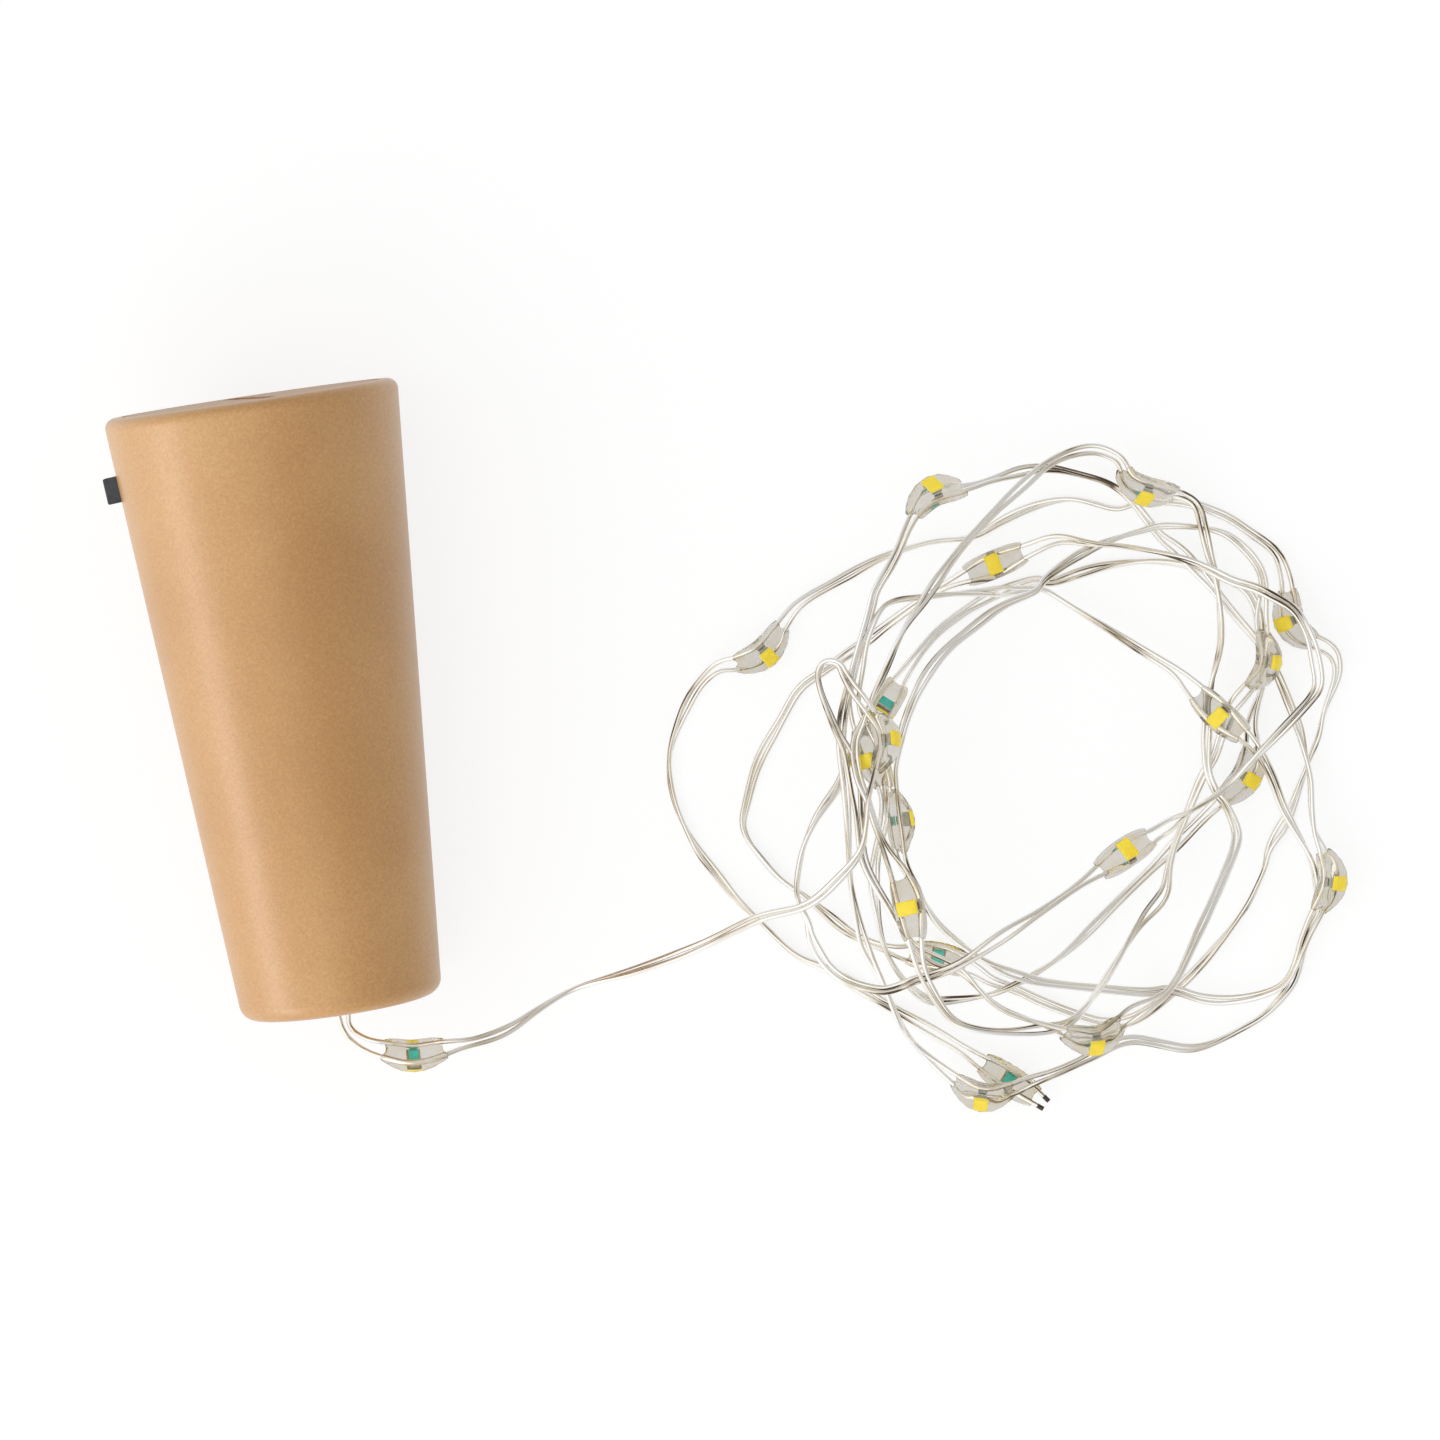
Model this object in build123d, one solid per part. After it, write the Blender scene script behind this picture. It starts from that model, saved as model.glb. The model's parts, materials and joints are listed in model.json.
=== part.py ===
from build123d import *
import math
import os

# A cork bottle light lying on its side, in millimetres. The stopper is modelled upright, with its narrow end at
# height 0 and its axis along Z, and is then laid on the floor with its wide end towards +Y. The string of lights
# is modelled where it lies.

# Stopper
CORK_LENGTH = 47.0
WIDE_DIAMETER = 22.6
NARROW_DIAMETER = 15.4
CORK_WALL = 1.5
NARROW_FLOOR = 2.0
WIDE_ROUND = 0.8
NARROW_ROUND = 1.2
LID_RIM = 1.5
LID_LEDGE = 0.8
WIRE_HOLE = 2.2

# Battery lid
LID_THICKNESS = 1.6
LID_CLEARANCE = 0.12
LID_EDGE_ROUND = 0.3
LID_SKIRT_WALL = 0.5
LID_SKIRT_CLEARANCE = 0.3
SLOT_MARGIN = 1.8
SLOT_WIDTH = 1.3
SLOT_DEPTH = 0.9
SLOT_TURN = 15.0

# Cells, their tube and contacts
CELL_DIAMETER = 11.6
CELL_HEIGHT = 5.4
CELL_COUNT = 3
CELL_CAP_DIAMETER = 9.6
CELL_CAP_HEIGHT = 0.5
CELL_EDGE_ROUND = 0.4
CELL_PLAY = 0.15
TUBE_WALL = 0.6
TUBE_ABOVE_CELLS = 2.4
SPRING_HEIGHT = 3.0
SPRING_WIRE = 0.6
SPRING_TURNS = 4
SPRING_DIAMETER = 9.0
SPRING_TOP_DIAMETER = 5.0
CONTACT_THICKNESS = 0.4
CONTACT_DIAMETER = 10.0
CONTACT_BUTTON_DIAMETER = 4.0
CONTACT_GAP = 0.05
CONTACT_DEPTH = 3.2
STRIP_WIDTH = 2.5
STRIP_THICKNESS = 0.3
STRIP_LIP = 1.9
STRIP_CLEARANCE = 0.15

# Circuit board
BOARD_THICKNESS = 1.0
BOARD_PLAY = 0.3
RESISTOR_LENGTH = 3.2
RESISTOR_WIDTH = 1.6
RESISTOR_HEIGHT = 0.6
RESISTOR_OFFSET = 3.5

# Slide switch, set parallel to the stopper's sloping side
KNOB_LENGTH = 2.0
KNOB_WIDTH = 1.5
KNOB_PROUD = 1.05
KNOB_FROM_RIM = 5.4
KNOB_EDGE_ROUND = 0.15
KNOB_FOOT_OVERHANG = 0.4
KNOB_FOOT_HEIGHT = 0.5
SWITCH_TRAVEL = 2.0
SWITCH_CLEARANCE = 0.15
CAN_LENGTH = 6.6
CAN_WIDTH = 2.7
CAN_HEIGHT = 1.5
CAN_SHEET = 0.2
BASE_HEIGHT = 0.6
WALL_OVER_SWITCH = 1.6
POCKET_CLEARANCE = 0.1
TERMINAL_WIDTH = 0.5
TERMINAL_REACH = 0.8
TERMINAL_THICKNESS = 0.2
TERMINAL_OFFSET = 1.25
SWITCH_LEAD_DIAMETER = 0.7
SOLDER_GAP = 0.02

# Wires and the seal where they come out
WIRE_DIAMETER = 0.38
WIRE_PITCH = 0.9
SEAL_DIAMETER = 6.0
SEAL_HEIGHT = 3.0
STRAIGHT_OUT = 2.0

# Lights
BEAD_LENGTH = 5.6
BEAD_WIDTH = 2.7
BEAD_THICKNESS = 1.9
BEAD_END_WIDTH = 1.6
CHIP_LENGTH = 1.1
CHIP_WIDTH = 1.9
CHIP_THICKNESS = 0.45
CHIP_LIFT = 0.04
LIGHTS_FACE_DOWN = (1, 7, 14, 17, 20)

# The coil: where the wires pass, as a bearing in degrees and a reach from the coil's centre, turn upon turn.
# Every stop marked BEAD carries a light. The turns fall by one pitch a turn, down to the string's cut end.
COIL_CENTRE = (56.5, -12.8)
COIL_PITCH = 1.25
COIL_LAST_HEIGHT = 1.2
TAIL_HEIGHT = 0.7
BOW, BEAD = "bow", "bead"
COIL_START = (161.0, 17.2)
COIL_STOPS = [
    (198, 15.5, BOW), (233, 17.5, BOW), (273, 22.0, BEAD),
    (345, 14.5, BOW), (420, 22.5, BEAD),
    (473, 16.0, BOW), (580, 15.0, BEAD),
    (626, 20.5, BOW), (734, 19.0, BEAD),
    (782, 18.5, BOW), (850, 15.5, BOW), (915, 12.0, BEAD),
    (1000, 18.5, BOW), (1049, 24.5, BEAD),
    (1109, 19.0, BOW), (1184, 22.5, BEAD),
    (1259, 15.0, BOW), (1331, 26.5, BEAD),
    (1377, 26.0, BOW), (1445, 14.5, BEAD),
    (1535, 13.5, BOW), (1610, 13.0, BEAD),
    (1681, 20.0, BOW), (1787, 16.0, BEAD),
    (1850, 18.5, BOW), (1946, 12.0, BEAD),
    (2012, 22.5, BOW), (2105, 10.0, BEAD),
    (2174, 23.0, BOW), (2256, 15.5, BEAD),
    (2339, 23.0, BOW), (2395, 17.0, BEAD),
    (2468, 20.0, BOW), (2540, 22.0, BEAD),
    (2596, 20.5, BOW), (2670, 23.0, BEAD),
    (2704, 28.0, BOW), (2776, 25.0, BEAD),
]
TAIL_END = (2783, 28.0)
COIL_TOP = COIL_LAST_HEIGHT + COIL_PITCH * (COIL_STOPS[-1][0] - COIL_START[0]) / 360

# The lead: points that it passes after it leaves the stopper, down to the floor and up onto the coil. The run after
# a point marked BEAD carries a light.
LEAD_POINTS = [
    (2.0, -27.6, 6.4, BEAD),
    (7.8, -28.5, 3.4, BOW),
    (12.0, -27.8, 1.4, BOW),
    (15.7, -26.1, 0.6, BOW),
    (20.2, -24.9, 0.8, BOW),
    (25.0, -24.0, 2.2, BOW),
    (29.8, -22.8, 4.2, BOW),
    (34.0, -21.6, 6.2, BOW),
    (37.3, -20.9, 8.0, BOW),
    (39.9, -19.6, 9.8, BOW),
    (41.8, -17.4, COIL_TOP + 1.1, BOW),
    (42.8, -14.3, COIL_TOP + 1.5, BOW),
    (44.4, -11.7, COIL_TOP + 1.6, BEAD),
    (44.6, -6.6, COIL_TOP + 1.5, BOW),
    (43.6, -4.0, COIL_TOP + 1.3, BOW),
    (42.2, -2.3, COIL_TOP + 1.0, BOW),
    (40.2, -2.4, COIL_TOP + 0.7, BOW),
    (39.5, -4.4, COIL_TOP + 0.4, BOW),
]
ARC_SHARE = 0.45

WIDE_RADIUS = WIDE_DIAMETER / 2
NARROW_RADIUS = NARROW_DIAMETER / 2
SLOPE = math.degrees(math.atan((WIDE_RADIUS - NARROW_RADIUS) / CORK_LENGTH))
LID_BASE = CORK_LENGTH - LID_THICKNESS
LID_DIAMETER = WIDE_DIAMETER - 2 * LID_RIM
SLOT_LENGTH = LID_DIAMETER - 2 * SLOT_MARGIN
CELLS_TOP = LID_BASE - CONTACT_DEPTH
CELLS_BASE = CELLS_TOP - CELL_COUNT * CELL_HEIGHT
BOARD_TOP = CELLS_BASE - SPRING_HEIGHT
BOARD_BASE = BOARD_TOP - BOARD_THICKNESS
TUBE_BORE_RADIUS = CELL_DIAMETER / 2 + CELL_PLAY
TUBE_RADIUS = TUBE_BORE_RADIUS + TUBE_WALL
TUBE_TOP = CELLS_TOP + TUBE_ABOVE_CELLS
SKIRT_BORE_RADIUS = TUBE_RADIUS + STRIP_THICKNESS + STRIP_CLEARANCE
ON_BASE = (Align.CENTER, Align.CENTER, Align.MIN)
UP = Vector(0, 0, 1)


def cork_radius(height):
    """Outer radius of the stopper at a height above its narrow end."""
    return NARROW_RADIUS + (WIDE_RADIUS - NARROW_RADIUS) * height / CORK_LENGTH


def cavity_radius(height):
    return cork_radius(height) - CORK_WALL


def disc(radius, base, top):
    """Round block on the stopper's axis, from one height to another."""
    return Pos(0, 0, base) * Cylinder(radius, top - base, align=ON_BASE)


def ring(radius, bore_radius, base, top):
    return disc(radius, base, top) - disc(bore_radius, base, top)


def circles_by_height(shape):
    return shape.edges().filter_by(GeomType.CIRCLE).sort_by(Axis.Z)


# The switch's own plane: X along the sloping side towards the wide end, Z straight out of it, at the window's middle
SIDE_ALONG = Vector(-math.sin(math.radians(SLOPE)), 0, math.cos(math.radians(SLOPE)))
SIDE_OUT = Vector(-math.cos(math.radians(SLOPE)), 0, -math.sin(math.radians(SLOPE)))
WINDOW_FROM_RIM = KNOB_FROM_RIM + SWITCH_TRAVEL / 2
SWITCH_PLANE = Plane(
    origin=Vector(-WIDE_RADIUS, 0, CORK_LENGTH) - SIDE_ALONG * WINDOW_FROM_RIM, x_dir=SIDE_ALONG, z_dir=SIDE_OUT
)
CAN_TOP = -WALL_OVER_SWITCH
CAN_BASE = CAN_TOP - CAN_HEIGHT
WINDOW_LENGTH = KNOB_LENGTH + SWITCH_TRAVEL + 2 * SWITCH_CLEARANCE
WINDOW_WIDTH = KNOB_WIDTH + 2 * SWITCH_CLEARANCE


def side_block(length, width, low, high, along=0.0, across=0.0):
    """Box in the switch's plane, between two distances from the stopper's side (negative is inside it)."""
    return SWITCH_PLANE * Pos(along, across, (low + high) / 2) * Box(length, width, high - low)


def cork_body():
    cork = Cone(NARROW_RADIUS, WIDE_RADIUS, CORK_LENGTH, align=ON_BASE)
    cork = fillet(circles_by_height(cork)[-1], WIDE_ROUND)
    cork = fillet(circles_by_height(cork)[0], NARROW_ROUND)
    mouth = LID_DIAMETER / 2 - LID_LEDGE
    mouth_base = CORK_LENGTH * (mouth + CORK_WALL - NARROW_RADIUS) / (WIDE_RADIUS - NARROW_RADIUS)
    rebate = LID_DIAMETER / 2 + LID_CLEARANCE
    section = [
        (0, NARROW_FLOOR),
        (cavity_radius(NARROW_FLOOR), NARROW_FLOOR),
        (mouth, mouth_base),
        (mouth, LID_BASE),
        (rebate, LID_BASE),
        (rebate, CORK_LENGTH),
        (0, CORK_LENGTH),
    ]
    cork -= revolve(Plane.XZ * make_face(Polyline(*section, close=True)), axis=Axis.Z)
    cork -= disc(WIRE_HOLE / 2, 0, NARROW_FLOOR)
    pocket_room = 2 * POCKET_CLEARANCE
    cork -= side_block(
        CAN_LENGTH + pocket_room, CAN_WIDTH + pocket_room, CAN_BASE, CAN_TOP + POCKET_CLEARANCE
    )
    cork -= side_block(WINDOW_LENGTH, WINDOW_WIDTH, CAN_TOP, KNOB_PROUD)
    return cork


def battery_lid():
    lid = disc(LID_DIAMETER / 2, LID_BASE, CORK_LENGTH)
    lid = fillet(circles_by_height(lid)[-1], LID_EDGE_ROUND)
    skirt_base = CORK_LENGTH - WINDOW_FROM_RIM + CAN_LENGTH / 2 + LID_SKIRT_CLEARANCE
    lid += ring(SKIRT_BORE_RADIUS + LID_SKIRT_WALL, SKIRT_BORE_RADIUS, skirt_base, LID_BASE)
    slot = Box(SLOT_WIDTH, SLOT_LENGTH, SLOT_DEPTH, align=(Align.CENTER, Align.CENTER, Align.MAX))
    return lid - Pos(0, 0, CORK_LENGTH) * Rot(Z=SLOT_TURN) * slot


def lid_contact():
    """Stamped plate under the lid, with a button that presses on the top cell."""
    plate = disc(CONTACT_DIAMETER / 2, LID_BASE - CONTACT_THICKNESS, LID_BASE)
    return plate + disc(CONTACT_BUTTON_DIAMETER / 2, CELLS_TOP + CONTACT_GAP, LID_BASE)


def battery_tube():
    return ring(TUBE_RADIUS, TUBE_BORE_RADIUS, BOARD_TOP, TUBE_TOP)


def button_cell(number):
    """One cell: a can with rounded rim and the smaller cap of its other pole below."""
    base = CELLS_BASE + (number - 1) * CELL_HEIGHT
    can = disc(CELL_DIAMETER / 2, base + CELL_CAP_HEIGHT, base + CELL_HEIGHT)
    can = fillet(circles_by_height(can), CELL_EDGE_ROUND)
    return can + disc(CELL_CAP_DIAMETER / 2, base, base + CELL_HEIGHT / 2)


def contact_strip():
    """Bent strip up the outside of the tube, with a lip over its mouth."""
    outer = TUBE_RADIUS + STRIP_THICKNESS
    upright = Box(STRIP_THICKNESS, STRIP_WIDTH, TUBE_TOP - BOARD_TOP, align=(Align.MAX, Align.CENTER, Align.MIN))
    lip = Box(
        outer - TUBE_BORE_RADIUS + STRIP_LIP, STRIP_WIDTH, STRIP_THICKNESS,
        align=(Align.MAX, Align.CENTER, Align.MIN),
    )
    strip = Pos(outer, 0, BOARD_TOP) * upright + Pos(outer, 0, TUBE_TOP) * lip
    return strip - disc(TUBE_RADIUS, BOARD_TOP, TUBE_TOP)


def circuit_board():
    return disc(cavity_radius(BOARD_BASE) - BOARD_PLAY, BOARD_BASE, BOARD_TOP)


def board_resistor():
    chip = Box(RESISTOR_LENGTH, RESISTOR_WIDTH, RESISTOR_HEIGHT, align=(Align.CENTER, Align.CENTER, Align.MAX))
    return Pos(0, RESISTOR_OFFSET, BOARD_BASE) * chip


def switch_can():
    """Folded metal cover of the switch, open below, with the knob's slot in its top."""
    can = side_block(CAN_LENGTH, CAN_WIDTH, CAN_BASE, CAN_TOP)
    inside = 2 * CAN_SHEET
    can -= side_block(CAN_LENGTH - inside, CAN_WIDTH - inside, CAN_BASE, CAN_TOP - CAN_SHEET)
    return can - side_block(WINDOW_LENGTH, WINDOW_WIDTH, CAN_BASE, CAN_TOP)


def switch_base():
    inside = 2 * CAN_SHEET
    return side_block(CAN_LENGTH - inside, CAN_WIDTH - inside, CAN_BASE, CAN_BASE + BASE_HEIGHT)


def switch_knob():
    """Knob at the wide end of its travel, on a foot that slides under the can's slotted top."""
    rest = SWITCH_TRAVEL / 2
    foot_top = CAN_TOP - CAN_SHEET - SWITCH_CLEARANCE / 2
    stem = side_block(KNOB_LENGTH, KNOB_WIDTH, foot_top, KNOB_PROUD, along=rest)
    top_edges = stem.faces().sort_by(Axis(SWITCH_PLANE.origin, SIDE_OUT))[-1].edges()
    stem = fillet(top_edges, KNOB_EDGE_ROUND)
    foot_width = CAN_WIDTH - 2 * CAN_SHEET - 2 * SWITCH_CLEARANCE
    foot_length = KNOB_LENGTH + 2 * KNOB_FOOT_OVERHANG
    return stem + side_block(foot_length, foot_width, foot_top - KNOB_FOOT_HEIGHT, foot_top, along=rest)


def terminal_places():
    """Where the three terminals stand: along the switch, and the side that they point to."""
    return [(-TERMINAL_OFFSET, 1), (TERMINAL_OFFSET, 1), (-TERMINAL_OFFSET, -1)]


def switch_terminals():
    tabs = []
    for along, side in terminal_places():
        middle = side * (CAN_WIDTH + TERMINAL_REACH) / 2
        tabs.append(
            side_block(TERMINAL_WIDTH, TERMINAL_REACH, CAN_BASE, CAN_BASE + TERMINAL_THICKNESS, along, middle)
        )
    return Compound(children=tabs)


def switch_lead(side):
    """Insulated lead from a terminal's tip down to the board, between the tube and the stopper's wall."""
    lead_radius = SWITCH_LEAD_DIAMETER / 2
    across = side * (CAN_WIDTH / 2 + TERMINAL_REACH + SOLDER_GAP + lead_radius)
    solder = SWITCH_PLANE * Pos(-TERMINAL_OFFSET, across, CAN_BASE + TERMINAL_THICKNESS / 2)
    between = (TUBE_RADIUS + cavity_radius(BOARD_TOP)) / 2
    beside_tube = math.sqrt(between**2 - across**2)
    top = solder.position
    foot = Vector(-beside_tube, top.Y, BOARD_TOP)
    return Solid.make_cylinder(
        lead_radius, (top - foot).length, Plane(origin=foot, z_dir=top - foot)
    ) - disc(TUBE_RADIUS * 2, BOARD_TOP - SWITCH_LEAD_DIAMETER, BOARD_TOP)


def inner_wire(side):
    wire = disc(WIRE_DIAMETER / 2, 0, BOARD_BASE)
    return Pos(side * WIRE_PITCH / 2, 0, 0) * wire


def exit_seal():
    """Glue that fills the wire hole and stands on the narrow end's floor, round both wires."""
    seal = disc(WIRE_HOLE / 2, 0, NARROW_FLOOR) + disc(SEAL_DIAMETER / 2, NARROW_FLOOR, NARROW_FLOOR + SEAL_HEIGHT)
    return seal - inner_wire(1) - inner_wire(-1)


def biarc(start, start_dir, end, end_dir):
    """Two arcs that leave one point and reach the other in the given directions."""
    chord = end - start
    both = start_dir + end_dir
    spread = 2 * (1 - start_dir.dot(end_dir))
    along = chord.dot(both)
    reach = (math.sqrt(along**2 + spread * chord.dot(chord)) - along) / spread
    middle = (start + end) / 2 + (start_dir - end_dir) * (reach / 2)
    first = TangentArc(start, middle, tangent=start_dir)
    return [first, TangentArc(middle, end, tangent=first % 1)]


def biarcs(points, directions):
    """Biarcs through a row of points."""
    arcs = []
    for here in range(len(points) - 1):
        arcs += biarc(points[here], directions[here], points[here + 1], directions[here + 1])
    return arcs


def swept_tube(edges, diameter):
    path = Wire(edges)
    start = Plane(origin=path @ 0, z_dir=path % 0)
    return sweep(start * Circle(diameter / 2), path=path)


def battery_spring():
    """Conical spring from the board up to the lowest cell, a quarter turn at a time."""
    quarters = 4 * SPRING_TURNS
    rise = (SPRING_HEIGHT - SPRING_WIRE) / quarters
    points = []
    directions = []
    for quarter in range(quarters + 1):
        angle = math.radians(90 * quarter)
        radius = (SPRING_DIAMETER + (SPRING_TOP_DIAMETER - SPRING_DIAMETER) * quarter / quarters) / 2
        height = BOARD_TOP + SPRING_WIRE / 2 + rise * quarter
        shrink = (SPRING_TOP_DIAMETER - SPRING_DIAMETER) / 2 / quarters
        ahead = Vector(-math.sin(angle), math.cos(angle), 0) * radius * math.pi / 2
        inward = Vector(math.cos(angle), math.sin(angle), 0) * shrink
        points.append(Vector(radius * math.cos(angle), radius * math.sin(angle), height))
        directions.append((ahead + inward + UP * rise).normalized())
    return swept_tube(biarcs(points, directions), SPRING_WIRE)


def left_of(direction):
    """Level direction to the left of a way along the string."""
    return UP.cross(direction).normalized()


def coil_point(bearing, reach, height):
    angle = math.radians(bearing)
    return Vector(COIL_CENTRE[0] + reach * math.cos(angle), COIL_CENTRE[1] + reach * math.sin(angle), height)


def coil_height(bearing):
    return COIL_LAST_HEIGHT + COIL_PITCH * (COIL_STOPS[-1][0] - bearing) / 360


def bend_direction(before, here, after):
    """Direction at the middle one of three points, along the circle through them."""
    first = here - before
    second = after - here
    return (first * (second.length / first.length) + second * (first.length / second.length)).normalized()


def coil_route():
    """Points of the coil and the directions of the wires there, from the lead's end to the cut end."""
    points = [coil_point(*COIL_START, COIL_TOP)]
    for bearing, reach, kind in COIL_STOPS:
        points.append(coil_point(bearing, reach, coil_height(bearing)))
    points.append(coil_point(*TAIL_END, TAIL_HEIGHT))
    lead_end = Vector(*LEAD_POINTS[-1][:3])
    directions = [(points[0] - lead_end).normalized()]
    for here in range(1, len(points) - 1):
        directions.append(bend_direction(points[here - 1], points[here], points[here + 1]))
    directions.append((points[-1] - points[-2]).normalized())
    return points, directions


def lead_route(exit_point, exit_direction):
    """Points of the lead, straight out of the stopper and then as chosen, to the coil's start."""
    chosen = [Vector(x, y, z) for x, y, z, kind in LEAD_POINTS]
    return [exit_point, exit_point + exit_direction * STRAIGHT_OUT] + chosen + [coil_point(*COIL_START, COIL_TOP)]


def shifted(points, directions, side):
    """The route of one wire of the pair, half a pitch to one side."""
    return [point + left_of(way) * (side * WIRE_PITCH / 2) for point, way in zip(points, directions)]


def run_directions(points):
    runs = [(after - before).normalized() for before, after in zip(points, points[1:])]
    halfway = [(first + second).normalized() for first, second in zip(runs, runs[1:])]
    return [runs[0]] + halfway + [runs[-1]]


def corner_radii(points):
    """Arc radius at each corner, as large as the two runs allow."""
    radii = []
    for before, here, after in zip(points, points[1:], points[2:]):
        turn = (here - before).get_angle(after - here)
        shorter = min((here - before).length, (after - here).length)
        radii.append(ARC_SHARE * shorter / math.tan(math.radians(turn) / 2))
    return radii


def bead_plane(middle, along):
    """Plane of one light: X along the wires, Y to their left, Z up."""
    return Plane(origin=middle, x_dir=along, z_dir=along.cross(left_of(along)))


def chip_block(faces_down):
    side = -1 if faces_down else 1
    height = side * (WIRE_DIAMETER / 2 + CHIP_LIFT + CHIP_THICKNESS / 2)
    return Pos(0, 0, height) * Box(CHIP_LENGTH, CHIP_WIDTH, CHIP_THICKNESS)


def resin_drop():
    """Clear drop round the wires, widest in the middle and flattened, lofted through ellipses."""
    sections = []
    for share in (-1, -0.5, 0, 0.5, 1):
        width = BEAD_WIDTH - (BEAD_WIDTH - BEAD_END_WIDTH) * share**2
        place = Plane(origin=(share * BEAD_LENGTH / 2, 0, 0), x_dir=(0, 1, 0), z_dir=(1, 0, 0))
        sections.append(place * Ellipse(width / 2, width / 2 * BEAD_THICKNESS / BEAD_WIDTH))
    return loft(sections)


def light(plane, number, wires):
    """The drop of one light, with its wires and chip left out of it, and the chip."""
    chip = plane * chip_block(number in LIGHTS_FACE_DOWN)
    drop = plane * resin_drop()
    for wire in wires:
        drop -= wire
    return drop - chip, chip


def least_gap(routes):
    """Least clear distance between turns of the coil, measured on points along both wires."""
    spacing = 1.0
    marks = []
    for number, edges in enumerate(routes):
        travelled = 0.0
        for edge in edges:
            count = max(2, math.ceil(edge.length / spacing))
            for step in range(count):
                point = edge @ (step / count)
                marks.append((travelled + edge.length * step / count, number, point.X, point.Y, point.Z))
            travelled += edge.length
    same_turn = 15.0
    least = {"itself": math.inf, "the other wire": math.inf}
    for first in range(len(marks)):
        place, wire, x, y, z = marks[first]
        for other_place, other_wire, other_x, other_y, other_z in marks[first + 1:]:
            if abs(other_place - place) > same_turn:
                apart = math.dist((x, y, z), (other_x, other_y, other_z)) - WIRE_DIAMETER
                key = "itself" if wire == other_wire else "the other wire"
                least[key] = min(least[key], apart)
    return least


# The stopper and what is in it, upright
upright = {
    "cork_body": cork_body(),
    "battery_lid": battery_lid(),
    "lid_contact": lid_contact(),
    "battery_tube": battery_tube(),
    "battery_spring": battery_spring(),
    "contact_strip": contact_strip(),
    "circuit_board": circuit_board(),
    "board_resistor": board_resistor(),
    "switch_can": switch_can(),
    "switch_base": switch_base(),
    "switch_knob": switch_knob(),
    "switch_terminals": switch_terminals(),
    "switch_lead_1": switch_lead(1),
    "switch_lead_2": switch_lead(-1),
    "inner_wire_a": inner_wire(1),
    "inner_wire_b": inner_wire(-1),
    "exit_seal": exit_seal(),
}
for cell_number in range(1, CELL_COUNT + 1):
    upright[f"cell_{cell_number}"] = button_cell(cell_number)

# Laid on its sloping side, with the middle of the stopper's box above the origin
tipped = Rot(X=SLOPE - 90)
lying_box = Compound(children=[tipped * upright["cork_body"], tipped * upright["switch_knob"]]).bounding_box()
laid = Pos(-lying_box.center().X, -lying_box.center().Y, -lying_box.min.Z) * tipped
parts = {name: laid * shape for name, shape in upright.items()}

# The string
exit_point = (laid * Pos(0, 0, 0)).position
exit_direction = ((laid * Pos(0, 0, -1)).position - exit_point).normalized()
lead_points = lead_route(exit_point, exit_direction)
lead_directions = run_directions(lead_points)
coil_points, coil_directions = coil_route()
coil_edges = {}
for letter, side in (("a", 1), ("b", -1)):
    lead_line = shifted(lead_points, lead_directions, side)
    radii = corner_radii(lead_line)
    print(f"lead_wire_{letter} radii:", ", ".join(f"{radius:.1f}" for radius in radii))
    lead_path = FilletPolyline(*lead_line, radius=radii)
    parts[f"lead_wire_{letter}"] = swept_tube(lead_path.edges(), WIRE_DIAMETER)
    coil_edges[letter] = biarcs(shifted(coil_points, coil_directions, side), coil_directions)
    parts[f"coil_wire_{letter}"] = swept_tube(coil_edges[letter], WIRE_DIAMETER)
    for name, length in (
        (f"lead_wire_{letter}", lead_path.length),
        (f"coil_wire_{letter}", sum(edge.length for edge in coil_edges[letter])),
    ):
        share = parts[name].volume / (math.pi * WIRE_DIAMETER**2 / 4 * length)
        print(f"{name}: length {length:.1f}, volume over section times length {share:.4f}")
    tightest = min(edge.radius for edge in coil_edges[letter])
    print(f"coil_wire_{letter}: tightest radius {tightest:.2f}")
for what, gap in least_gap(coil_edges.values()).items():
    print(f"least gap of a coil wire to {what}: {gap:.2f}")

# The lights, two on the lead and the rest at the coil's marked stops
chips = []
lead_beads = []
for run, (x, y, z, kind) in enumerate(LEAD_POINTS, 2):
    if kind == BEAD:
        before, after = lead_points[run], lead_points[run + 1]
        lead_beads.append(bead_plane((before + after) / 2, (after - before).normalized()))
lead_wires = [parts["lead_wire_a"], parts["lead_wire_b"]]
for bead_number, plane in enumerate(lead_beads, 1):
    parts[f"led_bead_{bead_number:02d}"], chip = light(plane, bead_number, lead_wires)
    chips.append(chip)
bead_number = len(lead_beads)
for stop, (bearing, reach, kind) in enumerate(COIL_STOPS, 1):
    if kind == BEAD:
        bead_number += 1
        plane = bead_plane(coil_points[stop], coil_directions[stop])
        wires = [
            swept_tube(edges[2 * stop - 1:2 * stop + 2], WIRE_DIAMETER) for edges in coil_edges.values()
        ]
        parts[f"led_bead_{bead_number:02d}"], chip = light(plane, bead_number, wires)
        chips.append(chip)
parts["led_chips"] = Compound(children=chips)

os.makedirs("parts", exist_ok=True)
for name, shape in parts.items():
    export_step(shape, f"parts/{name}.step")
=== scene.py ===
"""Cork bottle light: a tapered stopper lying beside its coiled string of lights, seen from straight above."""
import json
import math

import bpy
import numpy as np
from mathutils import Matrix, Vector

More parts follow.
